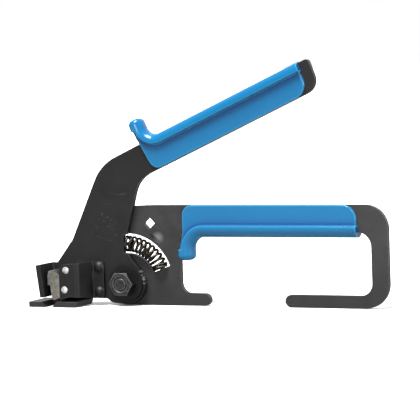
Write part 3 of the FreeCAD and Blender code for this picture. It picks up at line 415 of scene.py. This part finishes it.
def make_return_spring():
    """The bent spring in the frame's arc slot, between the lever's prong and the frame's prong."""
    low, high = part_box("return_spring")
    coil_radius = (high.y - low.y) / 2 - RETURN_WIRE
    middle_y = (low.y + high.y) / 2
    start, end = RETURN_LEVER_ANGLE, RETURN_FRAME_ANGLE

    def place(share, angle):
        around = start + (end - start) * share
        radius = RETURN_ARC_RADIUS + coil_radius * math.cos(angle)
        return Vector((PIVOT.x + radius * math.cos(around), middle_y + coil_radius * math.sin(angle),
                       PIVOT.z + radius * math.sin(around)))

    spring = wire("return_spring_wire", coil(RETURN_TURNS, RETURN_CLOSED_SHARE, place), RETURN_WIRE)
    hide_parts("return_spring")
    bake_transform(spring)


def make_jaw_spring():
    """The straight spring that starts in the carrier's pocket and pushes against the bracket."""
    low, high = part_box("jaw_spring")
    lean = JAW_SPRING_LEAN
    axis, up = Vector((math.cos(lean), 0, math.sin(lean))), Vector((-math.sin(lean), 0, math.cos(lean)))
    outer = (high.y - low.y) / 2
    length = (high.x - low.x - 2 * outer * math.sin(lean)) / math.cos(lean) - 2 * JAW_WIRE
    first = (low + high) / 2 - axis * length / 2

    def place(share, angle):
        ring = up * math.cos(angle) + Vector((0, 1, 0)) * math.sin(angle)
        return first + axis * length * share + ring * (outer - JAW_WIRE)

    spring = wire("jaw_spring_wire", coil(JAW_TURNS, JAW_CLOSED_SHARE, place), JAW_WIRE, sides=8)
    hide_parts("jaw_spring")
    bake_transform(spring)


make_jaw_spring()
make_return_spring()


# --------------------------------------------------------------------- stage and lights
def make_floor():
    """A pale floor far larger than the object, just under it, that bounces less light than it shows."""
    mesh = bpy.data.meshes.new("floor")
    bm = bmesh.new()
    bmesh.ops.create_circle(bm, cap_ends=True, segments=64, radius=FLOOR_RADIUS)
    bmesh.ops.translate(bm, verts=bm.verts, vec=(0, 0, cad_low.z - FLOOR_GAP))
    bm.to_mesh(mesh)
    bm.free()
    floor = put("floor", mesh)
    g = Graph(bpy.data.materials.new("floor_white"))
    tone = g.ramp(g.noise(g.coordinates(), FLOOR_CLOUD_SCALE, 2.0), [(0.3, 0.93), (0.7, 0.95)])
    seen = g.add("LightPath").outputs["Is Camera Ray"]
    g.feed(g.shader, "Base Color", g.mix(seen, grey(FLOOR_BOUNCE), tone))
    g.feed(g.shader, "Roughness", 0.9)
    mesh.materials.append(g.owner)


def turn_from_front(azimuth, elevation):
    """The direction towards a light or the camera: azimuth 0 is the front and 90 the right."""
    a, e = math.radians(azimuth), math.radians(elevation)
    return Vector((math.sin(a) * math.cos(e), -math.cos(a) * math.cos(e), math.sin(e)))


def aim(thing, target):
    thing.rotation_mode = "QUATERNION"
    thing.rotation_quaternion = (Vector(target) - thing.location).to_track_quat("-Z", "Y")


def area_light(name, azimuth, elevation, width, height, power):
    """A rectangular lamp that points at the middle of the object."""
    data = bpy.data.lights.new(name, "AREA")
    data.shape = "RECTANGLE"
    data.size = width
    data.size_y = height
    data.energy = power
    middle = (cad_low + cad_high) / 2
    light = put(name, data)
    light.location = middle + turn_from_front(azimuth, elevation) * LAMP_DISTANCE
    aim(light, middle)


def soft_sun(name, azimuth, elevation, strength, spread):
    """Soft light from far away."""
    data = bpy.data.lights.new(name, "SUN")
    data.energy = strength
    data.angle = math.radians(spread)
    light = put(name, data)
    light.location = turn_from_front(azimuth, elevation)
    aim(light, (0, 0, 0))


def make_world():
    """A studio with a bright backdrop behind the object, dim towards the front; plain white to the camera."""
    g = Graph(bpy.data.worlds.new("studio"))
    depth = g.add("SeparateXYZ", Vector=g.add("TexCoord").outputs["Generated"]).outputs["Y"]
    share = g.add("MapRange", Value=depth, From_Min=-1.0)
    g.feed(g.shader, "Color", g.ramp(share, [(0.35, FRONT_DIM), (0.55, SIDE_LEVEL), (0.9, BACK_BRIGHT)]))
    mix = g.add("MixShader")
    g.feed(mix, "0", g.add("LightPath").outputs["Is Camera Ray"])
    g.feed(mix, "1", g.shader)
    g.feed(mix, "2", g.add("Background", Color=(1.0, 1.0, 1.0, 1.0)))
    g.feed(g.tree.nodes["World Output"], "Surface", mix)
    scene.world = g.owner


def make_camera():
    """The viewing angle: a long lens, a little to the right of the front and above."""
    azimuth = math.radians(CAMERA_AZIMUTH)
    back = turn_from_front(CAMERA_AZIMUTH, CAMERA_ELEVATION)
    right = Vector((math.cos(azimuth), math.sin(azimuth), 0))
    up = back.cross(right)
    across = right * math.cos(CAMERA_ROLL) + up * math.sin(CAMERA_ROLL)
    upright = up * math.cos(CAMERA_ROLL) - right * math.sin(CAMERA_ROLL)
    data = bpy.data.cameras.new("camera")
    data.sensor_width = CAMERA_SENSOR_MM
    data.lens = CAMERA_LENS_MM
    data.clip_start = 0.05
    data.clip_end = 50.0
    turn = Matrix((across, upright, back)).transposed().to_4x4()
    camera = put("camera", data)
    camera.matrix_world = Matrix.Translation(CAMERA_TARGET + back * CAMERA_DISTANCE) @ turn
    scene.camera = camera


make_floor()
make_world()
soft_sun("overhead", azimuth=-12.0, elevation=67.0, strength=7.4, spread=30.0)
area_light("right", azimuth=75.0, elevation=12.0, width=0.5, height=0.5, power=10.0)
area_light("front", azimuth=1.0, elevation=8.0, width=0.40, height=0.26, power=3.6)
make_camera()
scene.view_settings.view_transform = "Standard"
